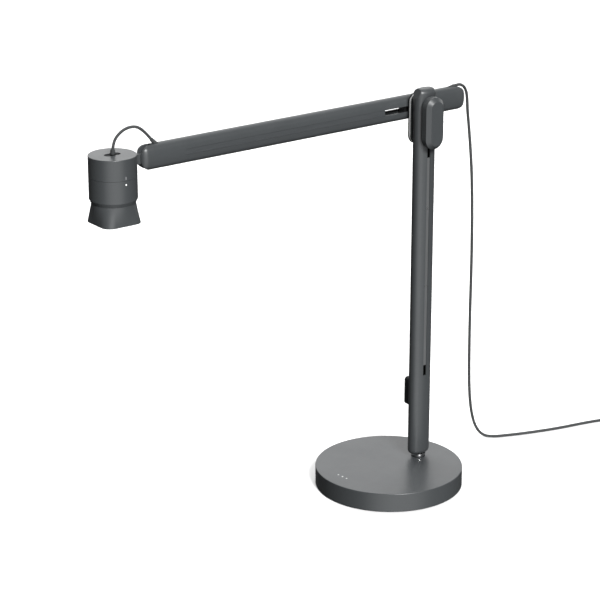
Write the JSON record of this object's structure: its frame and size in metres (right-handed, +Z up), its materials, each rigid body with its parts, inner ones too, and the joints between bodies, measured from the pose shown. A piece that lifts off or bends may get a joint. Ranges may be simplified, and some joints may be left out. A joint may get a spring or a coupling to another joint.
{
  "type": "swing arm desk lamp",
  "caption": "Desk lamp with a round weighted base, a slotted post, a sliding and pitching arm, and a drum head with a dimmer ring and a round to square shade.",
  "frame": {"origin": "centre of the base's underside, on the surface that the lamp stands on", "axes": "+Z up; the arm lies along X with the head at -X; the joint's shaft lies along Y, arm at +Y of the post"},
  "size_m": [0.9177, 0.29, 0.5866],
  "materials": {
    "rubber": "soft matt",
    "zinc_steel": "zinc plated",
    "cast_iron": "as cast",
    "anthracite": "satin powder coat",
    "black_plastic": "fine matt",
    "polished": "polished",
    "strip": "satin",
    "bare_aluminium": "turned",
    "glass": "frosted",
    "mark_white": "printed"
  },
  "bodies": {
    "base": {"foot_pad": "rubber", "bottom_plate": "zinc_steel", "base_weight": "cast_iron", "base_screws": "zinc_steel", "base_cover": "anthracite", "swivel_bush": "black_plastic", "cord_tube": "rubber", "cord_coil": "rubber", "cord_tail": "rubber", "plug_body": "black_plastic", "plug_pins": "polished"},
    "post": {"swivel_stud_bolt": "zinc_steel", "swivel_collar": "polished", "swivel_washer": "zinc_steel", "swivel_nut": "zinc_steel", "post_tube": "anthracite", "post_top_cap": "anthracite", "post_bottom_cap": "anthracite", "post_strip_front": "strip", "post_strip_rear": "strip", "post_liner": "black_plastic", "post_strip_screws": "zinc_steel", "cord_clip": "black_plastic", "cord_clip_screws": "zinc_steel"},
    "carriage": {"front_glide": "black_plastic", "slot_key": "black_plastic", "far_pad": "anthracite", "far_plate": "polished", "far_shim": "black_plastic", "joint_shaft": "zinc_steel", "lock_nut": "zinc_steel"},
    "knob": {"clamp_knob": "anthracite", "knob_insert": "zinc_steel"},
    "saddle": {"saddle_core": "bare_aluminium", "saddle_washer_front": "black_plastic", "saddle_washer_rear": "black_plastic"},
    "beam": {"beam_tube": "anthracite", "beam_front_cap": "anthracite", "hinge_pin": "zinc_steel", "beam_rear_cap": "anthracite", "beam_strip_front": "strip", "beam_strip_rear": "strip", "beam_liner": "black_plastic", "beam_inner_lead": "rubber", "beam_sleeve": "rubber", "cord_relief": "rubber"},
    "head": {"head_housing": "anthracite", "housing_mark": "mark_white", "head_core": "bare_aluminium", "head_driver": "black_plastic", "shade": "anthracite", "lamp_holder": "black_plastic", "bulb_body": "bare_aluminium", "bulb_glass": "glass", "hinge_lug": "anthracite", "head_grommet": "rubber", "head_lead": "rubber"},
    "ring": {"dimmer_ring": "anthracite", "ring_mark": "mark_white"}
  },
  "joints": [
    {"name": "post_swivel", "type": "hinge", "parent": "base", "child": "post", "pos_m": [0.0541, 0, 0.03], "axis": [0, 0, 1], "range_deg": [-90, 90], "deforming": ["cord_tube"]},
    {"name": "joint_height", "type": "slide", "parent": "post", "child": "carriage", "axis": [0, 0, 1], "range_m": [-0.044, 0.008]},
    {"name": "knob_turn", "type": "hinge", "parent": "carriage", "child": "knob", "pos_m": [0.0541, -0.02, 0.5406], "axis": [0, 1, 0], "range_deg": [0, 90]},
    {"name": "beam_pitch", "type": "hinge", "parent": "carriage", "child": "saddle", "pos_m": [0.0541, 0.032, 0.5406], "axis": [0, 1, 0], "range_deg": [-35, 45]},
    {"name": "beam_reach", "type": "slide", "parent": "saddle", "child": "beam", "axis": [1, 0, 0], "range_m": [-0.036, 0.04]},
    {"name": "head_tilt", "type": "hinge", "parent": "beam", "child": "head", "pos_m": [-0.3785, 0.032, 0.5406], "axis": [0, 1, 0], "range_deg": [-60, 40], "deforming": ["head_lead"]},
    {"name": "dimmer_turn", "type": "hinge", "parent": "head", "child": "ring", "pos_m": [-0.4284, 0.032, 0.51], "axis": [0, 0, 1], "range_deg": [0, 270]}
  ]
}
